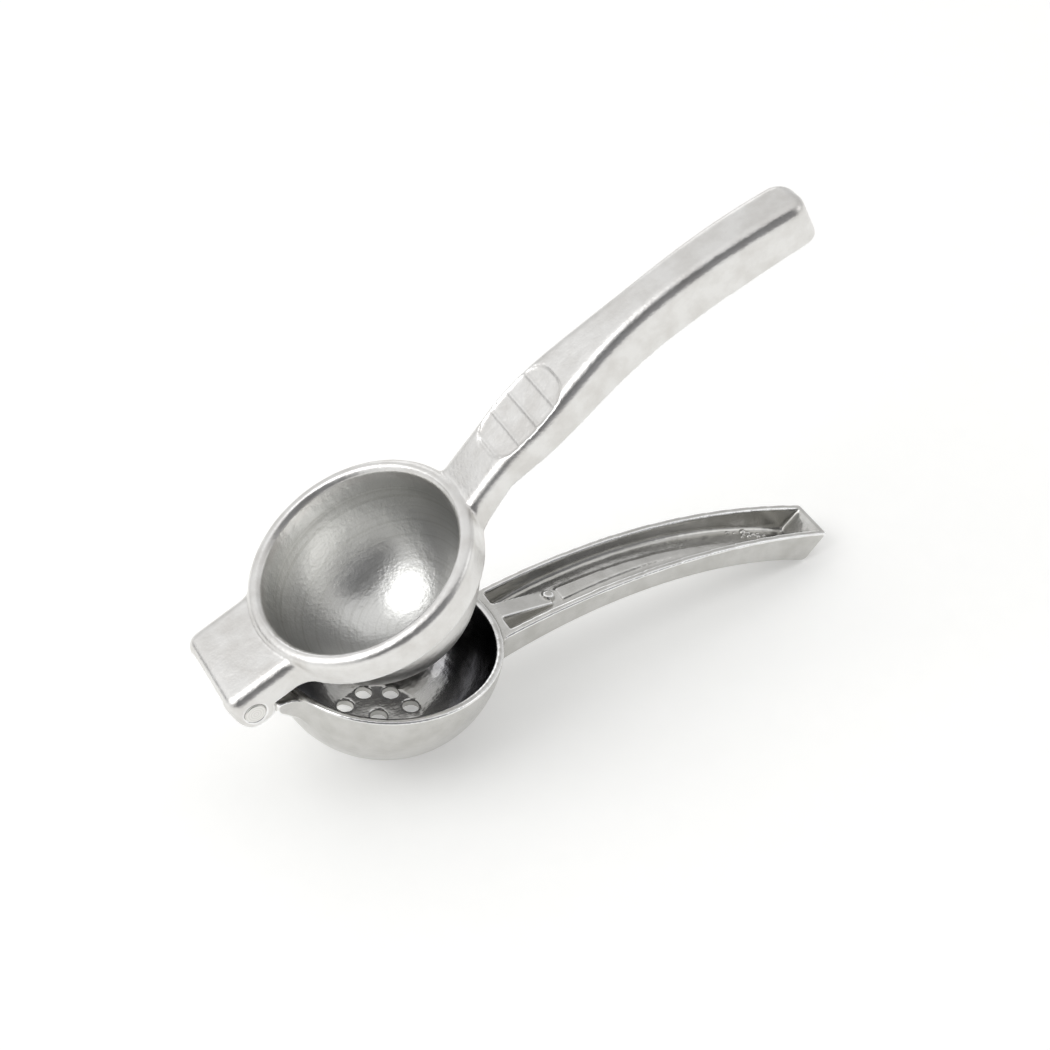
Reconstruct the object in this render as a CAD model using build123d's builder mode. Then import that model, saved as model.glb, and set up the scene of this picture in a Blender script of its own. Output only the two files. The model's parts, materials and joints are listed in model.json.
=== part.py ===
from build123d import *
import math
import os

os.makedirs("parts", exist_ok=True)

# A cast hand press for half lemons, in millimetres.
# The strainer cup arm lies on its foot and its handle tip.
# The press bowl arm stands half open on the hinge pin.
# Each arm has its own frame: x from the bowl to the handle tip, y across, z along the rim's normal.

# Strainer cup
cup_bore_radius = 31.0
cup_wall = 2.2
cup_depth = 28.5
cup_floor = 2.6
rim_round = 0.6
root_drop = 0.95

# Drain holes in the cup's floor
drain_hole_diameter = 4.8
drain_ring_radius = 10.2
drain_hole_count = 8

# Cup arm's channel handle
cup_handle_length = 144.5
cup_handle_root_width = 20.8
cup_handle_middle_width = 19.3
cup_handle_tip_width = 15.0
cup_handle_top_apex = (93.0, 7.9)
cup_handle_top_radius = 203.0
cup_handle_base_apex = (88.6, 0.8)
cup_handle_base_radius = 143.6
cup_tip_setback = 7.0
channel_wall = 2.1
channel_floor = 2.0
channel_round = 1.8
base_round = 1.6
cup_root_round = 3.6

# Tongue that runs from the cup into the channel, and the round post at its end
tongue_length = 16.6
tongue_drop = 0.4
tongue_width = 6.4
post_diameter = 3.4
post_rise = 1.0
rib_width = 5.0
rib_end_width = 1.6
rib_rise = 1.2
rib_gap = 3.4
rib_end = 118.0

# Press bowl
bowl_rim_radius = 28.8
bowl_wall = 2.0
dome_clearance = 0.8
dome_centre_drop = 6.0
flange_height = 8.5
seat_gap = 0.85
roll_rise = 1.2
roll_inner_round = 1.2
roll_outer_round = 2.5
cast_round = 3.4

# Press arm's handle
press_handle_length = 151.0
neck_width = 19.0
grip_width = 20.6
press_handle_middle_width = 16.4
press_handle_tip_width = 14.4
neck_length = 44.0
grip_centre = 55.0
press_handle_middle = 81.0
press_handle_top_apex = (115.0, 18.8)
press_handle_top_radius = 195.0
press_handle_base_apex = (111.0, 4.3)
press_handle_base_radius = 330.0
press_tip_round = 5.6
neck_flare_round = 4.0
neck_rise_round = 9.0
hollow_wall = 2.4
hollow_ceiling = 3.2
hollow_start = 50.0

# Thumb recess on the neck, with cross ridges
recess_start = 44.2
recess_end = 70.6
recess_margin = 1.6
recess_corner_round = 7.0
recess_depth = 1.2
recess_lip = 0.35
ridge_radius = 0.6
ridge_rise = 0.25
ridge_start = 45.9
ridge_pitch = 6.5
ridge_count = 4

# Hinge
hinge_reach = 45.4
hinge_rise = 2.15
open_angle = 30.9
pin_diameter = 6.0
pin_running_clearance = 0.05
pin_proud = 0.2
pin_edge_round = 0.5
lug_width = 20.0
lug_radius = 5.0
web_width = 24.0
web_start = 37.4
web_corner_round = 0.8
web_end_drop = 4.2
web_root_drop = 9.5
knuckle_width = 31.6
knuckle_side_gap = 0.3
knuckle_gap = 0.35
cheek_drop = 5.0
cheek_front_round = 3.6
cheek_back_round = 4.8
knuckle_back = 5.6
knuckle_corner_round = 4.0
knuckle_flare_round = 7.0


def arc_height(x, apex, radius):
    """Height at x of an arc that peaks at its apex."""
    return apex[1] - radius + math.sqrt(radius**2 - (x - apex[0]) ** 2)


def arc_between(start_x, end_x, apex, radius):
    """Arc from one x to another along a curve that peaks at its apex."""
    stations = (start_x, (start_x + end_x) / 2, end_x)
    return ThreePointArc(*[(x, arc_height(x, apex, radius)) for x in stations])


def recess_floor(x):
    """Height of the thumb recess's floor, which dips below the crown most in the middle of its length."""
    off_middle = (2 * x - recess_start - recess_end) / (recess_end - recess_start)
    depth = recess_depth - (recess_depth - recess_lip) * off_middle**2
    return arc_height(x, press_handle_top_apex, press_handle_top_radius) - depth


# Sizes that follow from the ones above
cup_outer_radius = cup_bore_radius + cup_wall
foot_depth = cup_depth + cup_floor
foot_radius = math.sqrt(cup_outer_radius**2 - foot_depth**2)
dome_radius = cup_bore_radius - dome_clearance
bowl_radius = dome_radius - bowl_wall
closed_height = flange_height + seat_gap
hinge_drop = closed_height - hinge_rise
foot_angle = math.degrees(math.acos(foot_radius / cup_outer_radius))
cup_floor_angle = math.degrees(math.asin(cup_depth / cup_bore_radius))
handle_root = cup_bore_radius / 2
web_root = cup_bore_radius - cup_wall
channel_start = cup_outer_radius + channel_wall
heel_x = cup_handle_length - cup_tip_setback
heel_z = arc_height(heel_x, cup_handle_base_apex, cup_handle_base_radius)
tip_z = arc_height(cup_handle_length, cup_handle_top_apex, cup_handle_top_radius)
tip_slope = cup_tip_setback / (tip_z - heel_z)
channel_end = heel_x - channel_wall + tip_slope * channel_floor
channel_bed_apex = (cup_handle_base_apex[0], cup_handle_base_apex[1] + channel_floor)
channel_bed_radius = cup_handle_base_radius + channel_floor
ring_radius = cup_outer_radius
back_x = -hinge_reach - knuckle_back
slot_radius = lug_radius + knuckle_gap
slot_front = slot_radius - hinge_reach
cheek_base = -hinge_drop - cheek_drop
crown_centre_z = press_handle_top_apex[1] - press_handle_top_radius
crown_foot = press_handle_top_apex[0] - math.sqrt(press_handle_top_radius**2 - crown_centre_z**2)
hollow_apex = (press_handle_top_apex[0], press_handle_top_apex[1] - hollow_ceiling)
hollow_radius = press_handle_top_radius - hollow_ceiling
recess_middle = (recess_start + recess_end) / 2
recess_sill = [(x, recess_floor(x)) for x in (recess_start, recess_middle, recess_end)]
roll_crest = bowl_rim_radius + roll_inner_round
dome_angle = math.degrees(math.asin((flange_height - dome_centre_drop) / dome_radius))
through = 2 * cup_outer_radius
tongue_end = channel_start + tongue_length
tongue_base_apex = (channel_bed_apex[0], channel_bed_apex[1] - channel_floor / 2)
post_height = post_rise - tongue_drop - arc_height(tongue_end, tongue_base_apex, channel_bed_radius)
rib_start = tongue_end + rib_gap
rib_middle = (rib_start + rib_end) / 2
rib_crest = [
    (rib_start, arc_height(rib_start, channel_bed_apex, channel_bed_radius) + rib_rise / 2),
    (rib_middle, arc_height(rib_middle, channel_bed_apex, channel_bed_radius) + rib_rise / 2),
    (rib_end, arc_height(rib_end, channel_bed_apex, channel_bed_radius) - rib_rise / 4),
]
cheek_corners = [(slot_front, cheek_base), (back_x, cheek_base), (back_x, 0)]
lug_web = [
    (-web_root, -root_drop),
    (-web_start, -root_drop),
    (-hinge_reach, hinge_rise),
    (-hinge_reach, hinge_rise - lug_radius),
    (-web_start, -web_end_drop),
    (-web_root, -web_root_drop),
]
ridge_xs = [ridge_start + ridge_pitch * i for i in range(ridge_count)]
ridge_spots = [(x, recess_floor(x) - ridge_radius + ridge_rise) for x in ridge_xs]

# The cup arm rests on the edge of its foot and on the heel of its handle tip
rest_tilt = math.atan2(foot_depth + heel_z, heel_x - foot_radius)
stand_height = foot_radius * math.sin(rest_tilt) + foot_depth * math.cos(rest_tilt)
arm_direction = (math.cos(rest_tilt), 0, -math.sin(rest_tilt))
rim_normal = (math.sin(rest_tilt), 0, math.cos(rest_tilt))
across = (0, -1, 0)

cup_top = Plane(origin=(0, 0, 0), x_dir=arm_direction, z_dir=rim_normal)
cup_side = Plane(origin=(0, 0, 0), x_dir=arm_direction, z_dir=across)
cup_axis = Axis((0, 0, 0), rim_normal)

# The press arm's frame is the cup arm's, lifted to the closed seat and swung open about the hinge
hinge_point = cup_side.from_local_coords(Vector(-hinge_reach, hinge_rise))
swing = Pos(hinge_point) * Rot(0, -open_angle, 0) * Pos(-hinge_point)
press_top = Plane(swing * cup_top.offset(closed_height).location)
press_side = Plane(swing * Plane(cup_top.offset(closed_height).origin, arm_direction, across).location)
press_axis = Axis(press_top.origin, press_top.z_dir)
hinge_plane = Plane(origin=hinge_point, x_dir=arm_direction, z_dir=across)


def cup_handle_outline(inset, start_x, end_x):
    """Closed plan outline of the cup arm's handle, moved in from its sides by an inset."""
    middle_x = (cup_outer_radius + cup_handle_length) / 2
    root = cup_handle_root_width / 2 - inset
    middle = cup_handle_middle_width / 2 - inset
    tip = cup_handle_tip_width / 2 - inset
    near = ThreePointArc((start_x, -root), (middle_x, -middle), (end_x, -tip))
    Line(near @ 1, (end_x, tip))
    far = ThreePointArc((end_x, tip), (middle_x, middle), (start_x, root))
    Line(far @ 1, near @ 0)


def press_handle_side(inset, end_x, side):
    """Points along one side of the press arm's handle, from the neck to the tip, moved in by an inset."""
    return [
        (neck_length, side * (neck_width / 2 - inset)),
        (grip_centre, side * (grip_width / 2 - inset)),
        (press_handle_middle, side * (press_handle_middle_width / 2 - inset)),
        (end_x, side * (press_handle_tip_width / 2 - inset)),
    ]


def on_ring(vertex):
    """Whether a corner of the flat pattern lies on the press ring's edge."""
    return abs(math.hypot(vertex.X, vertex.Y) - ring_radius) < 0.01


def on_cup_skin(edge):
    """Whether an edge is a seam of the cup's round skin with its handle or lug."""
    middle = cup_side.to_local_coords(edge @ 0.5)
    spots = [(edge @ t).length for t in (0.1, 0.5, 0.9)]
    on_skin = all(abs(spot - cup_outer_radius) < 0.01 for spot in spots)
    meridian = all(abs((edge @ t).Y) < 0.01 for t in (0.1, 0.5, 0.9))
    return on_skin and not meridian and 0.1 - foot_depth < middle.Y < -cup_wall


def on_rim(edge):
    """Whether an edge is one of the two round edges of the cup's rim."""
    return edge.geom_type == GeomType.CIRCLE and abs(cup_side.to_local_coords(edge @ 0.5).Y) < 0.01


# Hollow of the cup arm's handle: its outlines moved in by the channel's walls and floor
with BuildPart() as channel:
    with BuildSketch(cup_top) as channel_plan:
        with BuildLine():
            cup_handle_outline(channel_wall, channel_start, cup_handle_length)
        make_face()
    extrude(amount=through, both=True)
    with BuildSketch(cup_side) as channel_profile:
        with BuildLine():
            bed_start = channel_start + channel_wall
            bed = arc_between(bed_start, channel_end, channel_bed_apex, channel_bed_radius)
            slant = PolarLine(bed @ 1, through, direction=(tip_slope, 1))
            Polyline(slant @ 1, (channel_start, through), (channel_start, -root_drop), bed @ 0)
        make_face()
    extrude(amount=through, both=True, mode=Mode.INTERSECT)
    bed_edges = channel.edges().filter_by(lambda e: e.length > cup_handle_length / 2)
    fillet(bed_edges.sort_by(cup_axis)[:2], channel_round)

# Blank of the cup arm's handle: plan and side outlines meet in one arched bar with a slanted tip
with BuildPart() as cup_handle:
    with BuildSketch(cup_top) as cup_handle_plan:
        with BuildLine():
            cup_handle_outline(0, handle_root, cup_handle_length)
        make_face()
    extrude(amount=through, both=True)
    with BuildSketch(cup_side) as cup_handle_profile:
        with BuildLine():
            crest = arc_between(handle_root, cup_handle_length, cup_handle_top_apex, cup_handle_top_radius)
            Line(crest @ 1, (heel_x, heel_z))
            keel = arc_between(heel_x, handle_root, cup_handle_base_apex, cup_handle_base_radius)
            Line(keel @ 1, crest @ 0)
        make_face()
    extrude(amount=through, both=True, mode=Mode.INTERSECT)
    long_edges = cup_handle.edges().filter_by(lambda e: e.length > cup_handle_length / 2)
    fillet(long_edges.sort_by(cup_axis)[:2], base_round)
    add(channel.part, mode=Mode.SUBTRACT)

# Low rib that fades along the channel's floor from the post towards the tip
with BuildPart() as floor_rib:
    with BuildSketch(cup_top) as rib_plan:
        with BuildLine():
            rib_near = Line((rib_start, -rib_width / 2), (rib_end, -rib_end_width / 2))
            rib_far = Line((rib_end, rib_end_width / 2), (rib_start, rib_width / 2))
            Line(rib_near @ 1, rib_far @ 0)
            Line(rib_far @ 1, rib_near @ 0)
        make_face()
    extrude(amount=through, both=True)
    with BuildSketch(cup_side) as rib_profile:
        with BuildLine():
            rib_top = ThreePointArc(*rib_crest)
            rib_base = arc_between(rib_end, rib_start, cup_handle_base_apex, cup_handle_base_radius)
            Line(rib_top @ 1, rib_base @ 0)
            Line(rib_base @ 1, rib_top @ 0)
        make_face()
    extrude(amount=through, both=True, mode=Mode.INTERSECT)

# Lug: a barrel round the pin on a flat web that widens past the cheeks to meet the cup
with BuildPart() as hinge_lug:
    with BuildSketch(cup_side) as lug_profile:
        with Locations((-hinge_reach, hinge_rise)):
            Circle(lug_radius)
        with BuildLine():
            Polyline(lug_web, close=True)
        make_face()
    extrude(amount=web_width / 2, both=True)
    with BuildSketch(cup_top) as lug_plan:
        with Locations((-hinge_reach, 0)):
            Rectangle(2 * hinge_reach, lug_width)
        with Locations((-web_start, 0)):
            Rectangle(web_start, web_width, align=(Align.MIN, Align.CENTER))
        fillet(lug_plan.vertices().filter_by(lambda v: abs(v.X + web_start) < 0.1), web_corner_round)
    extrude(amount=through, both=True, mode=Mode.INTERSECT)

# Cup arm: a round cup with a flat foot, the channel handle on one side and the hinge lug on the other
with BuildPart() as strainer_cup_arm:
    with BuildSketch(cup_side) as cup_section:
        with BuildLine():
            skin = CenterArc((0, 0), cup_outer_radius, 0, -foot_angle)
            Line(skin @ 1, (0, -foot_depth))
            Line((0, -foot_depth), (0, 0))
            Line((0, 0), skin @ 0)
        make_face()
    revolve(axis=cup_axis)
    add(cup_handle.part)
    add(hinge_lug.part)
    fillet(strainer_cup_arm.edges().filter_by(on_cup_skin), cup_root_round)
    with BuildSketch(cup_side) as cup_hollow:
        with BuildLine():
            bore = CenterArc((0, 0), cup_bore_radius, 0, -cup_floor_angle)
            Line(bore @ 1, (0, -cup_depth))
            Line((0, -cup_depth), (0, through))
            Line((0, through), (cup_bore_radius, through))
            Line((cup_bore_radius, through), bore @ 0)
        make_face()
    revolve(axis=cup_axis, mode=Mode.SUBTRACT)
    with BuildSketch(cup_top.offset(-cup_depth)) as drain_holes:
        with PolarLocations(drain_ring_radius, drain_hole_count):
            Circle(drain_hole_diameter / 2)
        Circle(drain_hole_diameter / 2)
    extrude(amount=-cup_floor * 2, mode=Mode.SUBTRACT)
    fillet(strainer_cup_arm.edges().filter_by(on_rim), rim_round)
    with BuildSketch(cup_side) as tongue:
        with BuildLine():
            tongue_base = arc_between(tongue_end, channel_start, tongue_base_apex, channel_bed_radius)
            tongue_top = Line((channel_start, -tongue_drop), (tongue_end, -tongue_drop))
            Line(tongue_base @ 1, tongue_top @ 0)
            Line(tongue_top @ 1, tongue_base @ 0)
        make_face()
    extrude(amount=tongue_width / 2, both=True)
    with BuildSketch(cup_top.offset(post_rise - tongue_drop)) as post:
        with Locations((tongue_end, 0)):
            Circle(post_diameter / 2)
    extrude(amount=-post_height)
    add(floor_rib.part)
    with BuildSketch(hinge_plane) as lug_bore:
        Circle(pin_diameter / 2 + pin_running_clearance)
    extrude(amount=through, both=True, mode=Mode.SUBTRACT)

# Blank of the press arm: a ring plate with its neck, handle and knuckle, cut from one flat pattern
with BuildPart() as press_blank:
    with BuildSketch(press_top) as press_plan:
        with BuildLine():
            near_side = Spline(press_handle_side(0, press_handle_length, -1), tangents=((1, 0), (1, 0)))
            far_side = Spline(press_handle_side(0, press_handle_length, 1), tangents=((1, 0), (1, 0)))
            Line(near_side @ 1, far_side @ 1)
            Line(near_side @ 0, (0, -neck_width / 2))
            Line((0, -neck_width / 2), (0, neck_width / 2))
            Line((0, neck_width / 2), far_side @ 0)
        make_face()
        fillet(press_plan.vertices().sort_by(Axis.X)[-2:], press_tip_round)
        Circle(ring_radius)
        with Locations((back_x, 0)):
            Rectangle(-back_x, knuckle_width, align=(Align.MIN, Align.CENTER))
        fillet(press_plan.vertices().sort_by(Axis.X)[:2], knuckle_corner_round)
        fillet(press_plan.vertices().filter_by(on_ring).sort_by(Axis.X)[:2], knuckle_flare_round)
        fillet(press_plan.vertices().filter_by(on_ring).sort_by(Axis.X)[-2:], neck_flare_round)
    extrude(amount=through, both=True)
    with BuildSketch(press_side) as press_profile:
        with BuildLine():
            tip_x = press_handle_length
            crown = arc_between(crown_foot, tip_x, press_handle_top_apex, press_handle_top_radius)
            belly = arc_between(tip_x, neck_length, press_handle_base_apex, press_handle_base_radius)
            Line(crown @ 1, belly @ 0)
            flange_base = Line((ring_radius, -flange_height), (slot_front, -flange_height))
            Line(belly @ 1, flange_base @ 0)
            Polyline(flange_base @ 1, *cheek_corners, crown @ 0)
        make_face()
        fillet(press_profile.vertices().sort_by_distance((crown_foot, 0))[0], neck_rise_round)
        fillet(press_profile.vertices().sort_by_distance((slot_front, cheek_base))[0], cheek_front_round)
        fillet(press_profile.vertices().sort_by_distance((back_x, cheek_base))[0], cheek_back_round)
    extrude(amount=through, both=True, mode=Mode.INTERSECT)

# Hollow under the press arm's handle: its plan moved in by the wall, below a ceiling that follows the crown
with BuildPart() as handle_hollow:
    with BuildSketch(press_top) as hollow_plan:
        with BuildLine():
            hollow_end = press_handle_length - hollow_wall
            near_wall = Spline(press_handle_side(hollow_wall, hollow_end, -1), tangents=((1, 0), (1, 0)))
            far_wall = Spline(press_handle_side(hollow_wall, hollow_end, 1), tangents=((1, 0), (1, 0)))
            Line(near_wall @ 1, far_wall @ 1)
            Line(near_wall @ 0, far_wall @ 0)
        make_face()
        fillet(hollow_plan.vertices().sort_by(Axis.X)[-2:], press_tip_round - hollow_wall)
    extrude(amount=through, both=True)
    with BuildSketch(press_side) as hollow_profile:
        with BuildLine():
            ceiling = arc_between(hollow_start, press_handle_length, hollow_apex, hollow_radius)
            Polyline(ceiling @ 1, (press_handle_length, -through), (hollow_start, -through), ceiling @ 0)
        make_face()
    extrude(amount=through, both=True, mode=Mode.INTERSECT)

# Thumb recess: the handle's outline moved in by a margin and sunk to follow the crown, ridges left
with BuildPart() as thumb_recess:
    with BuildSketch(press_top) as recess_plan:
        with BuildLine():
            near_lip_points = press_handle_side(recess_margin, press_handle_length, -1)
            far_lip_points = press_handle_side(recess_margin, press_handle_length, 1)
            near_lip = Spline(near_lip_points, tangents=((1, 0), (1, 0)))
            far_lip = Spline(far_lip_points, tangents=((1, 0), (1, 0)))
            Line(near_lip @ 1, far_lip @ 1)
            Line(near_lip @ 0, far_lip @ 0)
        make_face()
        with Locations((recess_middle, 0)):
            Rectangle(recess_end - recess_start, through, mode=Mode.INTERSECT)
        fillet(recess_plan.vertices(), recess_corner_round)
    extrude(amount=through, both=True)
    with BuildSketch(press_side) as recess_profile:
        with BuildLine():
            sill = ThreePointArc(*recess_sill)
            Polyline(sill @ 1, (recess_end, through), (recess_start, through), sill @ 0)
        make_face()
    extrude(amount=through, both=True, mode=Mode.INTERSECT)
    with BuildSketch(press_side) as ridge_ends:
        with Locations(ridge_spots):
            Circle(ridge_radius)
    extrude(amount=through, both=True, mode=Mode.SUBTRACT)

# Press arm: the blank's edges are rounded, then the bowl, knuckle slot, hollow and recess are formed in it
with BuildPart() as press_bowl_arm:
    add(press_blank.part)
    plate_top = press_bowl_arm.faces().filter_by(lambda f: f.normal_at().dot(press_top.z_dir) > 0.5)
    fillet(plate_top.edges().sort_by(SortBy.LENGTH)[-2:], cast_round)
    with BuildSketch(press_side) as dome_section:
        with BuildLine():
            dome = CenterArc((0, -dome_centre_drop), dome_radius, -dome_angle, dome_angle - 90)
            flange_side = Line((ring_radius, roll_rise), (ring_radius, -flange_height))
            Polyline(dome @ 1, (0, roll_rise), flange_side @ 0)
            Line(flange_side @ 1, dome @ 0)
        make_face()
        fillet(dome_section.vertices().sort_by_distance((ring_radius, roll_rise))[0], roll_outer_round)
    revolve(axis=press_axis)
    with BuildSketch(press_side) as bowl_section:
        with BuildLine():
            bowl = CenterArc((0, -dome_centre_drop), bowl_radius, 0, -90)
            roll_bevel = Line((roll_crest, roll_rise), (bowl_rim_radius, 0))
            Polyline(bowl @ 1, (0, through), (roll_crest, through), roll_bevel @ 0)
            Line(roll_bevel @ 1, bowl @ 0)
        make_face()
    revolve(axis=press_axis, mode=Mode.SUBTRACT)
    with BuildSketch(press_side) as knuckle_slot:
        with BuildLine():
            throat = CenterArc((-hinge_reach, -hinge_drop), slot_radius, 0, 90)
            slot_back = Line((2 * back_x, slot_radius - hinge_drop), (2 * back_x, -through))
            Line(throat @ 1, slot_back @ 0)
            Polyline(slot_back @ 1, (slot_front, -through), throat @ 0)
        make_face()
    extrude(amount=lug_width / 2 + knuckle_side_gap, both=True, mode=Mode.SUBTRACT)
    with BuildSketch(hinge_plane) as cheek_bore:
        Circle(pin_diameter / 2)
    extrude(amount=through, both=True, mode=Mode.SUBTRACT)
    add(handle_hollow.part, mode=Mode.SUBTRACT)
    add(thumb_recess.part, mode=Mode.SUBTRACT)

# Hinge pin: pressed into the press arm's cheeks, running in the cup arm's lug
with BuildPart() as hinge_pin:
    with BuildSketch(hinge_plane) as pin_section:
        Circle(pin_diameter / 2)
    extrude(amount=knuckle_width / 2 + pin_proud, both=True)
    fillet(hinge_pin.edges(), pin_edge_round)

# The finished squeezer stands with the middle of its footprint at the origin
pieces = (strainer_cup_arm, press_bowl_arm, hinge_pin)
envelope = Compound([piece.part for piece in pieces]).bounding_box()
home = Pos(-envelope.center().X, 0, stand_height)
for piece in pieces:
    piece.part.move(home)

strainer_cup_arm.part.label = "strainer_cup_arm"
export_step(strainer_cup_arm.part, "parts/strainer_cup_arm.step")
press_bowl_arm.part.label = "press_bowl_arm"
export_step(press_bowl_arm.part, "parts/press_bowl_arm.step")
hinge_pin.part.label = "hinge_pin"
export_step(hinge_pin.part, "parts/hinge_pin.step")

print("hinge", tuple((home * Pos(hinge_point)).position))
print("foot", tuple((home * Pos(cup_side.from_local_coords(Vector(0, -foot_depth)))).position))
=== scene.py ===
"""Looks of a cast hand press for half lemons, in the same frame as its CAD model, in metres."""

import json
import logging
import math
from dataclasses import dataclass
from enum import Enum
from typing import Any

import bmesh
import bpy
from mathutils import Matrix, Vector


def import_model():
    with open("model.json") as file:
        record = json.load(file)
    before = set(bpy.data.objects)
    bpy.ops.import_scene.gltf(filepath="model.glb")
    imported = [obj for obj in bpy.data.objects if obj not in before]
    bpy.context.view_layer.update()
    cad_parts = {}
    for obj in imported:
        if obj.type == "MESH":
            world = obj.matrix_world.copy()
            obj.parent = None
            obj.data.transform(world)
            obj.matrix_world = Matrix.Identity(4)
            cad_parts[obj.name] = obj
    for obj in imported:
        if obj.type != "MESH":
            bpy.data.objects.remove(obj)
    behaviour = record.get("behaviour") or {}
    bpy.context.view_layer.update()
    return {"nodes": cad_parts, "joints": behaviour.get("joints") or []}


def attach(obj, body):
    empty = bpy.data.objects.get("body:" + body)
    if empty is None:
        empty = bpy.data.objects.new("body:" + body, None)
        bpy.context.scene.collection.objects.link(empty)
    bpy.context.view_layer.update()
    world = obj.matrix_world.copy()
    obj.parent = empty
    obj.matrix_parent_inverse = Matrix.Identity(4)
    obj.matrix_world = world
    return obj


LOG = logging.getLogger("lemon_press")
MM = 0.001

# Name of the attribute that the arms' skins carry and their finish reads, for the edges' painted highlight
EDGE_BULGE = "edge_bulge"

# Length of one wave of Blender's wave texture at a scale of 1
WAVE_LENGTH = 2 * math.pi / 20

# Centre of each hollow's round, in metres, and the way that the hollow opens
CUP_RIM_CENTRE = (-0.045638, 0.0, 0.032696)
CUP_AXIS = (0.182136, 0.0, 0.983273)
BOWL_CENTRE = (-0.047753, 0.0, 0.060030)
BOWL_AXIS = (-0.34867, 0.0, 0.93725)


class Body(Enum):
    """The two bodies that the hinge joins."""

    CUP_ARM = "cup_arm"
    PRESS_ARM = "press_arm"


class Slot(Enum):
    """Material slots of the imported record."""

    CASTING = "cast_aluminium"
    PIN = "pin_steel"


def linear(hex_colour: str) -> tuple[float, float, float, float]:
    """Turn an sRGB hex colour into linear red, green, blue and alpha.

    Args:
        hex_colour: Six hex digits, with or without a leading hash.

    Returns:
        The linear colour with an alpha of 1.
    """
    digits = hex_colour.lstrip("#")
    channels = [int(digits[i : i + 2], 16) / 255 for i in (0, 2, 4)]
    flat = [c / 12.92 if c <= 0.04045 else ((c + 0.055) / 1.055) ** 2.4 for c in channels]
    return flat[0], flat[1], flat[2], 1.0


def add_node(
    tree: bpy.types.NodeTree, kind: str, settings: dict[Any, Any], links: dict[Any, Any]
) -> bpy.types.Node:
    """Add one node, set its properties and sockets, and link its inputs.

    Args:
        tree: The node tree that gets the node.
        kind: Blender's type name of the node.
        settings: Node properties by name, or input sockets by index or name, with their values.
        links: Input sockets by index or name, each with the output socket that feeds it.

    Returns:
        The new node.
    """
    node = tree.nodes.new(kind)
    for key, value in settings.items():
        if isinstance(key, str) and hasattr(node, key):
            setattr(node, key, value)
        else:
            node.inputs[key].default_value = value
    for key, source in links.items():
        tree.links.new(source, node.inputs[key])
    return node


def blank_material(name: str) -> tuple[bpy.types.Material, bpy.types.NodeSocket]:
    """Start a node material that knows only the place on its piece.

    Args:
        name: The material's name.

    Returns:
        The material, and the place on the piece in metres.
    """
    made = bpy.data.materials.new(name)
    made.use_nodes = True
    made.node_tree.nodes.clear()
    place = add_node(made.node_tree, "ShaderNodeTexCoord", {}, {})
    return made, place.outputs["Object"]


def even_skin(piece: bpy.types.Object, voxel_mm: float, passes: int, share: float = 0.5) -> None:
    """Give a piece one even skin with eased edges, by modifiers that leave its own mesh as it is.

    Args:
        piece: The piece's object.
        voxel_mm: Size of the skin's faces.
        passes: How often the skin is eased.
        share: How far each pass moves a point towards the middle of its neighbours.
    """
    skin = piece.modifiers.new("even_skin", "REMESH")
    skin.mode = "VOXEL"
    skin.voxel_size = voxel_mm * MM
    skin.use_smooth_shade = True
    ease = piece.modifiers.new("eased_edges", "SMOOTH")
    ease.factor = share
    ease.iterations = passes


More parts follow.
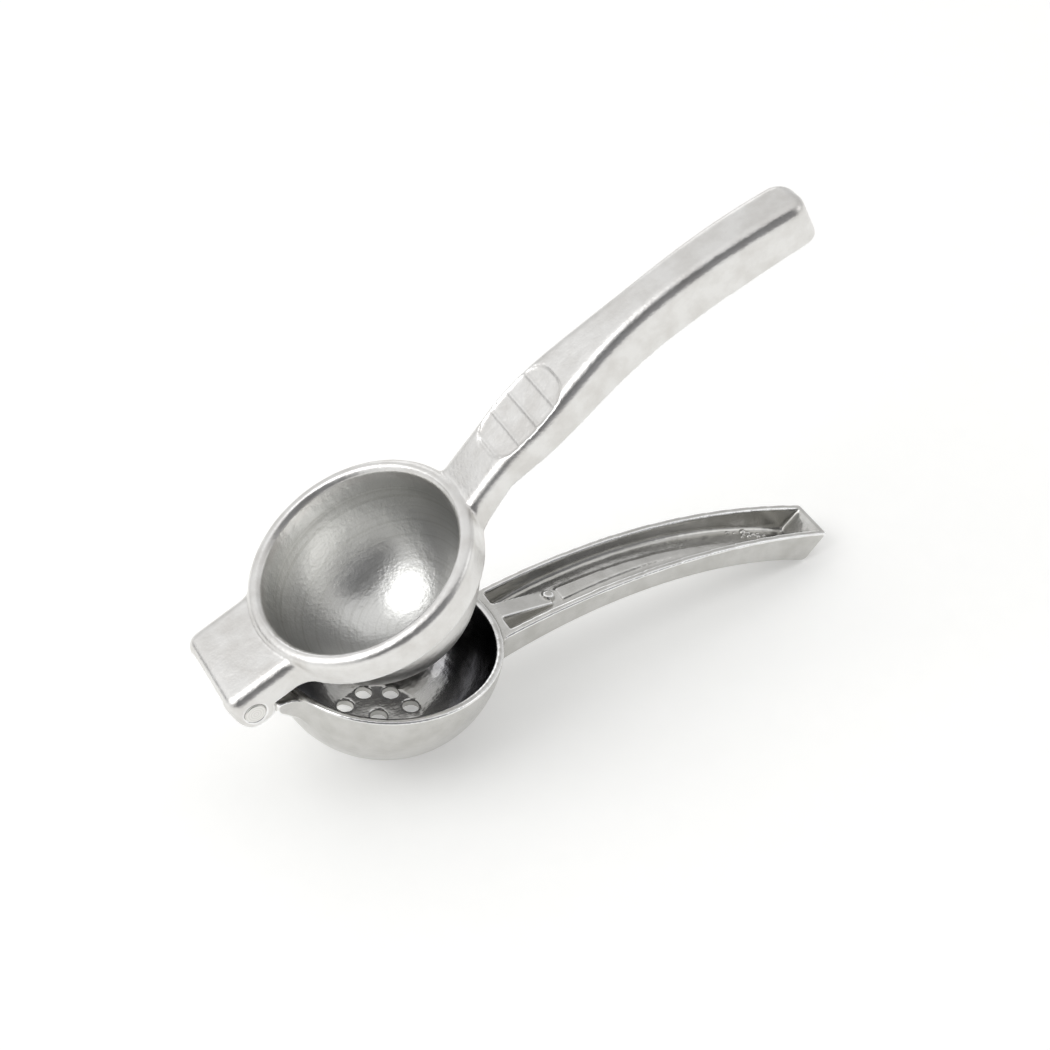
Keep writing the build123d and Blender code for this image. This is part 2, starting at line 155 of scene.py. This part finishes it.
@dataclass(frozen=True)
class HollowShadeAndLines:
    """The inside of a cast hollow, painted darker as painted shade, and less dark on its floor.

    Its own parts are its gloss and fine lines round the hollow's axis from the turning of the mould.
    """

    centre: tuple[float, float, float]
    axis: tuple[float, float, float]
    radius_mm: float
    # Depths below the centre, against the axis
    rim_mm: float
    floor_mm: float
    # Painted shade of the hollow, and the lighter painted shade of its floor
    tint: str
    floor_shade_tint: str
    roughness: float
    # Colour of the turning lines, drawn into the painted shade
    line_tint: str
    # The mould's lines are finer, and are drawn this coarse so that they show
    line_mm: float = 1.2
    line_depth_mm: float = 0.0016
    rim_fade_mm: float = 0.8
    # Where the hollow's mask is still full and where it ends, beyond the wall and below the floor
    wall_fade_mm: tuple[float, float] = (0.3, 0.7)
    foot_fade_mm: tuple[float, float] = (0.4, 0.8)
    # Where the floor's lighter painted shade starts and where it is full, above the floor
    floor_fade_mm: tuple[float, float] = (7.0, 0.5)

    def masks(
        self, tree: bpy.types.NodeTree, where: bpy.types.NodeSocket
    ) -> tuple[bpy.types.NodeSocket, bpy.types.NodeSocket, bpy.types.NodeSocket]:
        """Find the hollow, its floor and its turning lines from the place on the piece.

        Args:
            tree: The material's node tree.
            where: The place on the piece, in metres.

        Returns:
            The hollow's mask, the mask of the floor's lighter painted shade and the height of the turning
            lines.
        """
        from_centre = {"operation": "SUBTRACT", 1: self.centre}
        away = add_node(tree, "ShaderNodeVectorMath", from_centre, {0: where}).outputs["Vector"]
        reach = add_node(tree, "ShaderNodeVectorMath", {"operation": "LENGTH"}, {0: away}).outputs["Value"]
        inwards = {"operation": "DOT_PRODUCT", 1: tuple(-part for part in self.axis)}
        depth = add_node(tree, "ShaderNodeVectorMath", inwards, {0: away}).outputs["Value"]
        wall_full, wall_end = self.wall_fade_mm
        foot_full, foot_end = self.foot_fade_mm
        floor_start, floor_full = self.floor_fade_mm
        fades = (
            (reach, self.radius_mm + wall_end, self.radius_mm + wall_full),
            (depth, self.rim_mm, self.rim_mm + self.rim_fade_mm),
            (depth, self.floor_mm + foot_end, self.floor_mm + foot_full),
            (depth, self.floor_mm - floor_start, self.floor_mm - floor_full),
        )
        inside, *others = (
            add_node(
                tree,
                "ShaderNodeMapRange",
                {"From Min": start_mm * MM, "From Max": full_mm * MM},
                {"Value": measure},
            ).outputs["Result"]
            for measure, start_mm, full_mm in fades
        )
        # Each fade narrows what the ones before it leave: the hollow, and last its floor
        narrowed = [inside]
        for fade in others:
            both = {0: narrowed[-1], 1: fade}
            narrowed.append(add_node(tree, "ShaderNodeMath", {"operation": "MULTIPLY"}, both).outputs[0])
        *_, in_hollow, floor_shade_mask = narrowed
        share = add_node(
            tree,
            "ShaderNodeMath",
            {"operation": "DIVIDE", 1: self.radius_mm * MM, "use_clamp": True},
            {0: depth},
        )
        polar = add_node(tree, "ShaderNodeMath", {"operation": "ARCCOSINE"}, {0: share.outputs[0]})
        lines = add_node(
            tree,
            "ShaderNodeTexNoise",
            {
                "noise_dimensions": "1D",
                "Scale": self.radius_mm / self.line_mm,
                "Detail": 3.0,
                "Roughness": 0.6,
            },
            {"W": polar.outputs[0]},
        )
        return in_hollow, floor_shade_mask, lines.outputs["Fac"]


@dataclass(frozen=True)
class CastAluminium:
    """Die-cast aluminium, tumbled with ceramic stones after casting.

    Tumbling leaves a bright satin skin: broad soft highlights, a fine sparkle of stone marks, burnished
    edges with a painted white highlight, and slow waves from the mould, which bend every reflection a
    little.
    The inside of its hollow is painted darker, as painted shade.
    """

    name: str
    hollow_look: HollowShadeAndLines
    tint: str = "#E6E5E3"
    dull_tint: str = "#D9D7D4"
    # White painted highlight on the edges that bulge out, for the sheen of edges burnished in tumbling
    edge_highlight_tint: str = "#FFFFFF"
    edge_bulge_mm: tuple[float, float] = (0.02, 0.045)
    roughness: float = 0.31
    roughness_spread: float = 0.05
    # Stone marks are finer, and are drawn this coarse so that they show
    grain_mm: float = 0.8
    grain_depth_mm: float = 0.045
    wave_mm: float = 4.0
    wave_depth_mm: float = 0.12
    scratch_mm: float = 0.6
    scratch_depth_mm: float = 0.016
    scratch_stretch: tuple[float, float, float] = (0.06, 1.0, 1.0)
    scratch_turn: tuple[float, float, float] = (0.5, 0.2, 0.4)
    cloud_mm: float = 7.0
    # Noise values over which each layer goes from one look to the other
    grain_span: tuple[float, float] = (0.3, 0.7)
    cloud_span: tuple[float, float] = (0.35, 0.6)
    line_span: tuple[float, float] = (0.32, 0.52)
    shade_patch_span: tuple[float, float] = (0.3, 0.6)
    # Share of the hollow's painted shade that is left where the cloud noise thins it most
    thinnest_shade_share: float = 0.75
    # How strong each finer layer of a noise is beside the one before
    finer_share: float = 0.55

    def material(self) -> bpy.types.Material:
        """Build the node material.

        Returns:
            The finished material.
        """
        made, where = blank_material(self.name)
        tree = made.node_tree
        in_hollow, floor_shade_mask, lines = self.hollow_look.masks(tree, where)
        grain = add_node(
            tree,
            "ShaderNodeTexNoise",
            {"Scale": 1 / (self.grain_mm * MM), "Detail": 1.0, "Roughness": self.finer_share},
            {"Vector": where},
        ).outputs["Fac"]
        skin = add_node(
            tree,
            "ShaderNodeBsdfPrincipled",
            {"Metallic": 1.0},
            {
                "Base Color": self.colour(tree, where, in_hollow, floor_shade_mask, lines),
                "Roughness": self.gloss(tree, grain, in_hollow),
                "Normal": self.relief(tree, where, grain, in_hollow, lines),
            },
        )
        add_node(tree, "ShaderNodeOutputMaterial", {}, {"Surface": skin.outputs["BSDF"]})
        return made

    def colour(
        self,
        tree: bpy.types.NodeTree,
        where: bpy.types.NodeSocket,
        in_hollow: bpy.types.NodeSocket,
        floor_shade_mask: bpy.types.NodeSocket,
        lines: bpy.types.NodeSocket,
    ) -> bpy.types.NodeSocket:
        """Mix the skin's colour from its clouds, its hollow's painted shade, the lighter painted shade of
        the hollow's floor and its edges' painted highlight.

        Args:
            tree: The material's node tree.
            where: The place on the piece, in metres.
            in_hollow: Mask of the hollow, where the painted shade goes.
            floor_shade_mask: Mask of the hollow's floor, where the painted shade is lighter.
            lines: Height of the hollow's turning lines.

        Returns:
            The colour.
        """
        cloud = add_node(
            tree,
            "ShaderNodeTexNoise",
            {"Scale": 1 / (self.cloud_mm * MM), "Detail": 5.0, "Roughness": self.finer_share},
            {"Vector": where},
        ).outputs["Fac"]
        shades = add_node(tree, "ShaderNodeValToRGB", {}, {0: cloud})
        # The hollow's painted shade, darker along its turning lines
        hollow_shade_lines = add_node(tree, "ShaderNodeValToRGB", {}, {0: lines})
        ramps = (
            (shades, self.cloud_span, (self.dull_tint, self.tint)),
            (hollow_shade_lines, self.line_span, (self.hollow_look.line_tint, self.hollow_look.tint)),
        )
        for ramp, span, tints in ramps:
            for stop, position, tint in zip(ramp.color_ramp.elements, span, tints):
                stop.position = position
                stop.color = linear(tint)
        # The hollow's painted shade is thinner in patches where the cloud noise is low
        shade_patch_low, shade_patch_high = self.shade_patch_span
        shade_patches = add_node(
            tree,
            "ShaderNodeMapRange",
            {"From Min": shade_patch_low, "From Max": shade_patch_high, "To Min": self.thinnest_shade_share},
            {"Value": cloud},
        )
        patchy_shade = add_node(
            tree, "ShaderNodeMath", {"operation": "MULTIPLY"}, {0: in_hollow, 1: shade_patches.outputs["Result"]}
        )
        # Painted shade in the hollow, with its turning lines
        with_hollow_shade = add_node(
            tree,
            "ShaderNodeMixRGB",
            {},
            {
                "Fac": patchy_shade.outputs[0],
                "Color1": shades.outputs["Color"],
                "Color2": hollow_shade_lines.outputs["Color"],
            },
        )
        # Lighter painted shade on the hollow's floor
        ground = add_node(
            tree,
            "ShaderNodeMixRGB",
            {"Color2": linear(self.hollow_look.floor_shade_tint)},
            {"Fac": floor_shade_mask, "Color1": with_hollow_shade.outputs["Color"]},
        )
        # Painted white highlight on the edges, strongest where they bulge out most
        bulge = add_node(tree, "ShaderNodeAttribute", {"attribute_name": EDGE_BULGE}, {})
        flat_mm, sharp_mm = self.edge_bulge_mm
        edge_highlight = add_node(
            tree,
            "ShaderNodeMapRange",
            {"From Min": flat_mm * MM, "From Max": sharp_mm * MM},
            {"Value": bulge.outputs["Fac"]},
        )
        whole = add_node(
            tree,
            "ShaderNodeMixRGB",
            {"Color2": linear(self.edge_highlight_tint)},
            {"Fac": edge_highlight.outputs["Result"], "Color1": ground.outputs["Color"]},
        )
        return whole.outputs["Color"]

    def gloss(
        self,
        tree: bpy.types.NodeTree,
        grain: bpy.types.NodeSocket,
        in_hollow: bpy.types.NodeSocket,
    ) -> bpy.types.NodeSocket:
        """Work out the skin's roughness from its grain and its hollow.

        Args:
            tree: The material's node tree.
            grain: Height of the grain.
            in_hollow: Mask of the hollow.

        Returns:
            The roughness.
        """
        half_spread = self.roughness_spread / 2
        grain_low, grain_high = self.grain_span
        skin = add_node(
            tree,
            "ShaderNodeMapRange",
            {
                "From Min": grain_low,
                "From Max": grain_high,
                "To Min": self.roughness - half_spread,
                "To Max": self.roughness + half_spread,
            },
            {"Value": grain},
        )
        whole = add_node(
            tree,
            "ShaderNodeMapRange",
            {"To Max": self.hollow_look.roughness},
            {"Value": in_hollow, "To Min": skin.outputs["Result"]},
        )
        return whole.outputs["Result"]

    def relief(
        self,
        tree: bpy.types.NodeTree,
        where: bpy.types.NodeSocket,
        grain: bpy.types.NodeSocket,
        in_hollow: bpy.types.NodeSocket,
        lines: bpy.types.NodeSocket,
    ) -> bpy.types.NodeSocket:
        """Stack the skin's relief: mould waves, long scratches, stone marks and the hollow's turning lines.

        Args:
            tree: The material's node tree.
            where: The place on the piece, in metres.
            grain: Height of the grain.
            in_hollow: Mask of the hollow.
            lines: Height of the hollow's turning lines.

        Returns:
            The bent normal.
        """
        drawn = add_node(
            tree,
            "ShaderNodeMapping",
            {"Scale": self.scratch_stretch, "Rotation": self.scratch_turn},
            {0: where},
        )
        wave, scratch = (
            add_node(
                tree,
                "ShaderNodeTexNoise",
                {"Scale": 1 / (size_mm * MM), "Detail": 2.0, "Roughness": self.finer_share},
                {"Vector": place},
            ).outputs["Fac"]
            for place, size_mm in ((where, self.wave_mm), (drawn.outputs[0], self.scratch_mm))
        )
        layers = (
            (wave, self.wave_depth_mm),
            (scratch, self.scratch_depth_mm),
            (grain, self.grain_depth_mm),
        )
        normal = None
        for height, depth_mm in layers:
            links = {"Height": height} if normal is None else {"Height": height, "Normal": normal}
            normal = add_node(tree, "ShaderNodeBump", {"Distance": depth_mm * MM}, links).outputs["Normal"]
        turned = add_node(
            tree,
            "ShaderNodeBump",
            {"Distance": self.hollow_look.line_depth_mm * MM},
            {"Strength": in_hollow, "Height": lines, "Normal": normal},
        )
        return turned.outputs["Normal"]


@dataclass(frozen=True)
class TurnedSteel:
    """Steel rod, turned and then riveted cold.

    Turning leaves fine rings round the axis, so the ends show faint circles with a soft sheen.
    """

    name: str
    axis_point: tuple[float, float, float]
    tint: str = "#EAE9E6"
    groove_tint: str = "#DCDBD7"
    # Turning marks are finer, and are drawn this coarse so that they show
    ring_mm: float = 0.7
    ring_depth_mm: float = 0.002
    roughness: float = 0.28

    def material(self) -> bpy.types.Material:
        """Build the node material.

        Returns:
            The finished material.
        """
        made, where = blank_material(self.name)
        tree = made.node_tree
        away = tuple(-c for c in self.axis_point)
        centred = add_node(tree, "ShaderNodeMapping", {"Location": away}, {0: where})
        rings = add_node(
            tree,
            "ShaderNodeTexWave",
            {
                "wave_type": "RINGS",
                "rings_direction": "Y",
                "Scale": WAVE_LENGTH / (self.ring_mm * MM),
                "Distortion": 0.6,
                "Detail": 2.0,
                "Detail Scale": 1.5,
            },
            {"Vector": centred.outputs[0]},
        )
        shades = add_node(tree, "ShaderNodeValToRGB", {}, {0: rings.outputs["Fac"]})
        shades.color_ramp.elements[0].color = linear(self.groove_tint)
        shades.color_ramp.elements[1].color = linear(self.tint)
        groove = add_node(
            tree,
            "ShaderNodeBump",
            {"Strength": 1.0, "Distance": self.ring_depth_mm * MM},
            {"Height": rings.outputs["Fac"]},
        )
        skin = add_node(
            tree,
            "ShaderNodeBsdfPrincipled",
            {"Metallic": 1.0, "Roughness": self.roughness},
            {"Base Color": shades.outputs["Color"], "Normal": groove.outputs["Normal"]},
        )
        add_node(tree, "ShaderNodeOutputMaterial", {}, {"Surface": skin.outputs["BSDF"]})
        return made


@dataclass(frozen=True)
class PaleFloor:
    """Matt white sweep paper: an even pale ground with a faint mottle, which keeps the press's shadow."""

    name: str = "matt_white_paper"
    tint: str = "#F4F4F2"
    fibre_tint: str = "#EFEFED"
    # Paper fibres are much finer, and are drawn this coarse so that they show
    fibre_mm: float = 6.0
    glow: float = 0.27

    def material(self) -> bpy.types.Material:
        """Build the node material.

        Returns:
            The finished material.
        """
        made, where = blank_material(self.name)
        tree = made.node_tree
        fibre_scale = 1 / (self.fibre_mm * MM)
        fibre = add_node(tree, "ShaderNodeTexNoise", {"Scale": fibre_scale}, {"Vector": where})
        shades = add_node(tree, "ShaderNodeValToRGB", {}, {0: fibre.outputs["Fac"]})
        shades.color_ramp.elements[0].color = linear(self.fibre_tint)
        shades.color_ramp.elements[1].color = linear(self.tint)
        paper = add_node(tree, "ShaderNodeBsdfDiffuse", {}, {"Color": shades.outputs["Color"]})
        # The glow is there for what is seen of the paper, and puts no light on the press
        path = add_node(tree, "ShaderNodeLightPath", {}, {})
        seen = path.outputs["Is Camera Ray"]
        for ray in ("Is Glossy Ray", "Is Transmission Ray"):
            either = {0: seen, 1: path.outputs[ray]}
            seen = add_node(tree, "ShaderNodeMath", {"operation": "MAXIMUM"}, either).outputs[0]
        level = add_node(tree, "ShaderNodeMath", {"operation": "MULTIPLY", 1: self.glow}, {0: seen})
        glow = add_node(tree, "ShaderNodeEmission", {}, {"Strength": level.outputs[0]})
        both = add_node(tree, "ShaderNodeAddShader", {}, {0: paper.outputs[0], 1: glow.outputs[0]})
        add_node(tree, "ShaderNodeOutputMaterial", {}, {"Surface": both.outputs[0]})
        return made


@dataclass
class CastArm:
    """One cast arm of the press, shown by its CAD node with its edges eased as tumbling leaves them."""

    node: str
    body: Body
    finish: CastAluminium
    voxel_mm: float = 0.3
    easing_passes: int = 14
    bulge_blur_steps: int = 3
    kept_share: float = 0.25

    def build(self, nodes: dict[str, bpy.types.Object]) -> bpy.types.Object:
        """Ease the node's sharp edges, note where they bulge for the painted edge highlight, and thin out
        the faces.

        Args:
            nodes: The CAD nodes by name.

        Returns:
            The node's object.
        """
        arm = nodes[self.node]
        even_skin(arm, self.voxel_mm, self.easing_passes)
        # Note where the edges bulge, for the painted edge highlight
        bulge_note = arm.modifiers.new("edge_highlight_bulge", "NODES")
        bulge_note.node_group = self.bulge_finder()
        thin = arm.modifiers.new("fewer_faces", "DECIMATE")
        thin.ratio = self.kept_share
        return arm

    def bulge_finder(self) -> bpy.types.NodeTree:
        """Make the nodes that note on each point how far it stands out from its neighbours.

        Returns:
            The geometry node tree.
        """
        tree = bpy.data.node_groups.new(f"{self.node}_edge_highlight_bulge", "GeometryNodeTree")
        for side in ("INPUT", "OUTPUT"):
            tree.interface.new_socket("Geometry", in_out=side, socket_type="NodeSocketGeometry")
        skin = add_node(tree, "NodeGroupInput", {}, {}).outputs[0]
        place = add_node(tree, "GeometryNodeInputPosition", {}, {}).outputs[0]
        outwards = add_node(tree, "GeometryNodeInputNormal", {}, {}).outputs[0]
        spread = {"data_type": "FLOAT_VECTOR", "Iterations": self.bulge_blur_steps}
        around = add_node(tree, "GeometryNodeBlurAttribute", spread, {"Value": place}).outputs[0]
        away = add_node(tree, "ShaderNodeVectorMath", {"operation": "SUBTRACT"}, {0: place, 1: around})
        bulge = add_node(
            tree,
            "ShaderNodeVectorMath",
            {"operation": "DOT_PRODUCT"},
            {0: away.outputs[0], 1: outwards},
        )
        even = add_node(
            tree,
            "GeometryNodeBlurAttribute",
            {"Iterations": self.bulge_blur_steps},
            {"Value": bulge.outputs["Value"]},
        )
        noted = add_node(
            tree,
            "GeometryNodeStoreNamedAttribute",
            {"Name": EDGE_BULGE},
            {"Geometry": skin, "Value": even.outputs[0]},
        )
        add_node(tree, "NodeGroupOutput", {}, {0: noted.outputs[0]})
        return tree

    def dress(self, arm: bpy.types.Object) -> None:
        """Give the arm its cast finish.

        Args:
            arm: The node's object.
        """
        arm.data.materials.clear()
        arm.data.materials.append(self.finish.material())


@dataclass
class HingePin:
    """The riveted pin that both arms turn on."""

    finish: TurnedSteel
    node: str = "hinge_pin"
    body: Body = Body.PRESS_ARM
    weld_mm: float = 0.002
    voxel_mm: float = 0.15
    easing_passes: int = 3

    def build(self, nodes: dict[str, bpy.types.Object]) -> bpy.types.Object:
        """Smooth the pin's round sides and ends.

        Args:
            nodes: The CAD nodes by name.

        Returns:
            The node's object.
        """
        pin = nodes[self.node]
        weld = pin.modifiers.new("one_skin", "WELD")
        weld.merge_threshold = self.weld_mm * MM
        even_skin(pin, self.voxel_mm, self.easing_passes)
        return pin

    def dress(self, pin: bpy.types.Object) -> None:
        """Give the pin its turned finish.

        Args:
            pin: The node's object.
        """
        pin.data.materials.clear()
        pin.data.materials.append(self.finish.material())


@dataclass(frozen=True)
class CastingBeads:
    """Small drops of metal that the mould left on the channel's floor near the handle's tip."""

    finish: CastAluminium
    name: str = "casting_beads"
    body: Body = Body.CUP_ARM
    # The channel's floor is an arc: its top along and above the cup's rim, and its radius
    floor_apex_mm: tuple[float, float] = (88.6, 2.8)
    floor_radius_mm: float = 145.6
    sunk_share: float = 0.25
    roundness: int = 3
    voxel_mm: float = 0.12
    easing_passes: int = 4
    # Each drop's place along and across the channel, and its radius
    drops_mm: tuple[tuple[float, float, float], ...] = (
        (116.3, 5.0, 0.85),
        (118.8, 4.5, 0.75),
        (120.2, 2.4, 0.65),
        (121.9, 4.8, 1.3),
        (121.2, 3.3, 0.8),
        (122.9, 2.6, 1.0),
        (123.6, 4.3, 0.8),
        (124.7, 3.0, 1.2),
        (126.2, 2.2, 0.9),
        (127.0, 3.7, 0.75),
        (128.8, 2.8, 0.65),
    )

    def build(self) -> bpy.types.Object:
        """Set each drop on the channel's floor and fuse them into one skin.

        Returns:
            The beads' object.
        """
        shape = bmesh.new()
        centre = Vector(CUP_RIM_CENTRE)
        upwards = Vector(CUP_AXIS)
        along = Vector((upwards.z, 0.0, -upwards.x))
        apex_x, apex_z = self.floor_apex_mm
        for reach, across, size in self.drops_mm:
            drop = math.sqrt(self.floor_radius_mm**2 - (reach - apex_x) ** 2) - self.floor_radius_mm
            rise = apex_z + drop - self.sunk_share * size
            spot = centre + (along * reach + upwards * rise) * MM + Vector((0.0, across * MM, 0.0))
            bmesh.ops.create_icosphere(
                shape,
                subdivisions=self.roundness,
                radius=size * MM,
                matrix=Matrix.Translation(spot),
            )
        mesh = bpy.data.meshes.new(self.name)
        shape.to_mesh(mesh)
        shape.free()
        beads = bpy.data.objects.new(self.name, mesh)
        bpy.context.scene.collection.objects.link(beads)
        even_skin(beads, self.voxel_mm, self.easing_passes)
        return beads

    def dress(self, beads: bpy.types.Object) -> None:
        """Give the beads the casting's finish and let them ride on the cup's arm.

        Args:
            beads: The beads' object.
        """
        beads.data.materials.append(self.finish.material())
        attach(beads, self.body.value)


class LampRole(Enum):
    """What each studio lamp does."""

    KEY = "key"
    FILL = "fill"
    BACK = "back"


@dataclass(frozen=True)
class Softbox:
    """A soft round studio lamp that looks at the middle of the press, with its sizes in metres."""

    role: LampRole
    direction: tuple[float, float, float]
    distance: float
    across: float
    watts: float

    def build(self, target: Vector) -> bpy.types.Object:
        """Add the lamp.

        Args:
            target: The point that the lamp looks at.

        Returns:
            The lamp's object.
        """
        data = bpy.data.lights.new(self.role.value, "AREA")
        data.shape = "DISK"
        data.size = self.across
        data.energy = self.watts
        lamp = bpy.data.objects.new(self.role.value, data)
        towards = Vector(self.direction).normalized()
        lamp.location = target + towards * self.distance
        lamp.rotation_euler = towards.to_track_quat("Z", "Y").to_euler()
        bpy.context.scene.collection.objects.link(lamp)
        return lamp


@dataclass(frozen=True)
class SkyPatch:
    """A round part of the studio's sky with a grey of its own and a soft edge."""

    towards: tuple[float, float, float]
    tint: str
    full_degrees: float
    fade_degrees: float


@dataclass
class Studio:
    """Floor, sky and lamps of a plain photo table."""

    target: tuple[float, float, float] = (-0.02, 0.0, 0.05)
    floor_side: float = 12.0
    horizon: str = "#EDEDED"
    dome: str = "#D8D8D8"
    horizon_rise: tuple[float, float] = (0.0, 0.08)
    patches: tuple[SkyPatch, ...] = (
        # The bright window side, the dim room behind the camera, the bright ceiling and a dark gap low down
        SkyPatch((-0.73, 0.22, 0.64), "#F6F6F6", full_degrees=24, fade_degrees=64),
        SkyPatch((0.0, -0.85, 0.45), "#88888A", full_degrees=22, fade_degrees=60),
        SkyPatch((0.22, 0.12, 0.97), "#F2F2F2", full_degrees=18, fade_degrees=40),
        SkyPatch((-0.74, 0.67, 0.06), "#4A4A4C", full_degrees=5, fade_degrees=14),
        # A dark arc over the camera, which the rounded edges mirror as thin dark lines
        SkyPatch((-0.66, -0.70, 0.36), "#545456", full_degrees=6, fade_degrees=17),
        SkyPatch((-0.42, -0.64, 0.64), "#545456", full_degrees=6, fade_degrees=17),
        SkyPatch((-0.10, -0.58, 0.81), "#545456", full_degrees=5, fade_degrees=15),
        SkyPatch((0.16, -0.50, 0.85), "#545456", full_degrees=4, fade_degrees=12),
    )
    lamps: tuple[Softbox, ...] = (
        Softbox(LampRole.KEY, (-0.66, 0.08, 0.74), distance=1.2, across=1.0, watts=4.0),
        Softbox(LampRole.FILL, (0.8, -0.35, 0.45), distance=1.4, across=0.7, watts=0.8),
        Softbox(LampRole.BACK, (0.25, 0.9, 0.4), distance=1.4, across=0.7, watts=0.8),
    )

    def build(self) -> None:
        """Add the floor, the sky and the lamps."""
        mesh = bpy.data.meshes.new("floor")
        half = self.floor_side / 2
        corners = [(-half, -half, 0), (half, -half, 0), (half, half, 0), (-half, half, 0)]
        mesh.from_pydata(corners, [], [(0, 1, 2, 3)])
        floor = bpy.data.objects.new("floor", mesh)
        bpy.context.scene.collection.objects.link(floor)
        mesh.materials.append(PaleFloor().material())
        self.sky()
        for lamp in self.lamps:
            lamp.build(Vector(self.target))

    def sky(self) -> None:
        """Give the world a pale horizon and a grey dome with its bright and dim parts."""
        world = bpy.data.worlds.new("studio")
        bpy.context.scene.world = world
        world.use_nodes = True
        tree = world.node_tree
        tree.nodes.clear()
        where = add_node(tree, "ShaderNodeTexCoord", {}, {}).outputs["Generated"]
        parts = add_node(tree, "ShaderNodeSeparateXYZ", {}, {0: where})
        low, high = self.horizon_rise
        height = add_node(
            tree,
            "ShaderNodeMapRange",
            {"interpolation_type": "SMOOTHSTEP", "From Min": low, "From Max": high},
            {"Value": parts.outputs["Z"]},
        )
        ground = add_node(
            tree,
            "ShaderNodeMixRGB",
            {"Color1": linear(self.horizon), "Color2": linear(self.dome)},
            {"Fac": height.outputs["Result"]},
        )
        shown = ground.outputs["Color"]
        for patch in self.patches:
            facing = add_node(
                tree,
                "ShaderNodeVectorMath",
                {"operation": "DOT_PRODUCT", 1: Vector(patch.towards).normalized()},
                {0: where},
            )
            disc = add_node(
                tree,
                "ShaderNodeMapRange",
                {
                    "interpolation_type": "SMOOTHSTEP",
                    "From Min": math.cos(math.radians(patch.fade_degrees)),
                    "From Max": math.cos(math.radians(patch.full_degrees)),
                },
                {"Value": facing.outputs["Value"]},
            )
            raised = add_node(
                tree,
                "ShaderNodeMath",
                {"operation": "MULTIPLY"},
                {0: disc.outputs["Result"], 1: height.outputs["Result"]},
            )
            over = add_node(
                tree,
                "ShaderNodeMixRGB",
                {"Color2": linear(patch.tint)},
                {"Fac": raised.outputs[0], "Color1": shown},
            )
            shown = over.outputs["Color"]
        light = add_node(tree, "ShaderNodeBackground", {"Strength": 1.0}, {"Color": shown})
        add_node(tree, "ShaderNodeOutputWorld", {}, {"Surface": light.outputs[0]})


@dataclass(frozen=True)
class PhotoCamera:
    """The photograph's viewpoint, recovered from the outlines of the cup, the ring and the handles."""

    place: tuple[float, float, float] = (-0.19174, -0.4075, 0.4794)
    right: tuple[float, float, float] = (0.87837, -0.4744, -0.05887)
    up: tuple[float, float, float] = (0.36462, 0.5852, 0.72431)
    back: tuple[float, float, float] = (-0.30914, -0.6576, 0.68699)
    lens_mm: float = 76.84
    sensor_mm: float = 36.0
    clip_start: float = 0.01

    def build(self) -> bpy.types.Object:
        """Add the camera and make it the scene's own.

        Returns:
            The camera's object.
        """
        data = bpy.data.cameras.new("photo_camera")
        data.lens = self.lens_mm
        data.sensor_width = self.sensor_mm
        data.clip_start = self.clip_start
        camera = bpy.data.objects.new("photo_camera", data)
        turn = Matrix((self.right, self.up, self.back)).transposed()
        camera.matrix_world = Matrix.Translation(self.place) @ turn.to_4x4()
        bpy.context.scene.collection.objects.link(camera)
        bpy.context.scene.camera = camera
        return camera


def main() -> None:
    """Load the frame, dress each piece and set up the studio."""
    logging.basicConfig(level=logging.INFO, format="%(name)s: %(message)s")
    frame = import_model()
    # The cup arm is the same aluminium as the press arm, painted darker all over as painted shade; its
    # hollow gets a dark painted shade, lighter on the floor
    shaded_cup_finish = CastAluminium(
        "cast_aluminium_painted_shade",
        HollowShadeAndLines(
            CUP_RIM_CENTRE,
            CUP_AXIS,
            radius_mm=31.0,
            rim_mm=0.8,
            floor_mm=28.5,
            tint="#77777A",
            floor_shade_tint="#B8B7B4",
            roughness=0.16,
            line_tint="#68686B",
        ),
        tint="#CECDCA",
        dull_tint="#C1C0BC",
        roughness=0.22,
        grain_depth_mm=0.016,
    )
    # The bowl's hollow is painted a little darker than the rest, as painted shade
    press_finish = CastAluminium(
        "cast_aluminium_bright",
        HollowShadeAndLines(
            BOWL_CENTRE,
            BOWL_AXIS,
            radius_mm=28.2,
            rim_mm=-6.0,
            floor_mm=40.0,
            tint="#DDDDDB",
            floor_shade_tint="#DDDDDB",
            roughness=0.31,
            line_tint="#D3D3D0",
        ),
    )
    arms = (
        CastArm("strainer_cup_arm", Body.CUP_ARM, shaded_cup_finish),
        CastArm("press_bowl_arm", Body.PRESS_ARM, press_finish),
    )
    hinge_point = tuple(frame["joints"][0]["pos_m"])
    pin = HingePin(TurnedSteel("turned_steel", hinge_point))
    for piece in (*arms, pin):
        made = piece.build(frame["nodes"])
        piece.dress(made)
        LOG.info("%s on %s dressed in %s", made.name, piece.body.value, piece.finish.name)
    beads = CastingBeads(shaded_cup_finish)
    drops = beads.build()
    beads.dress(drops)
    LOG.info("%s on %s dressed in %s", drops.name, beads.body.value, shaded_cup_finish.name)
    Studio().build()
    PhotoCamera().build()
    bpy.context.scene.view_settings.view_transform = "Standard"


if __name__ == "__main__":
    main()
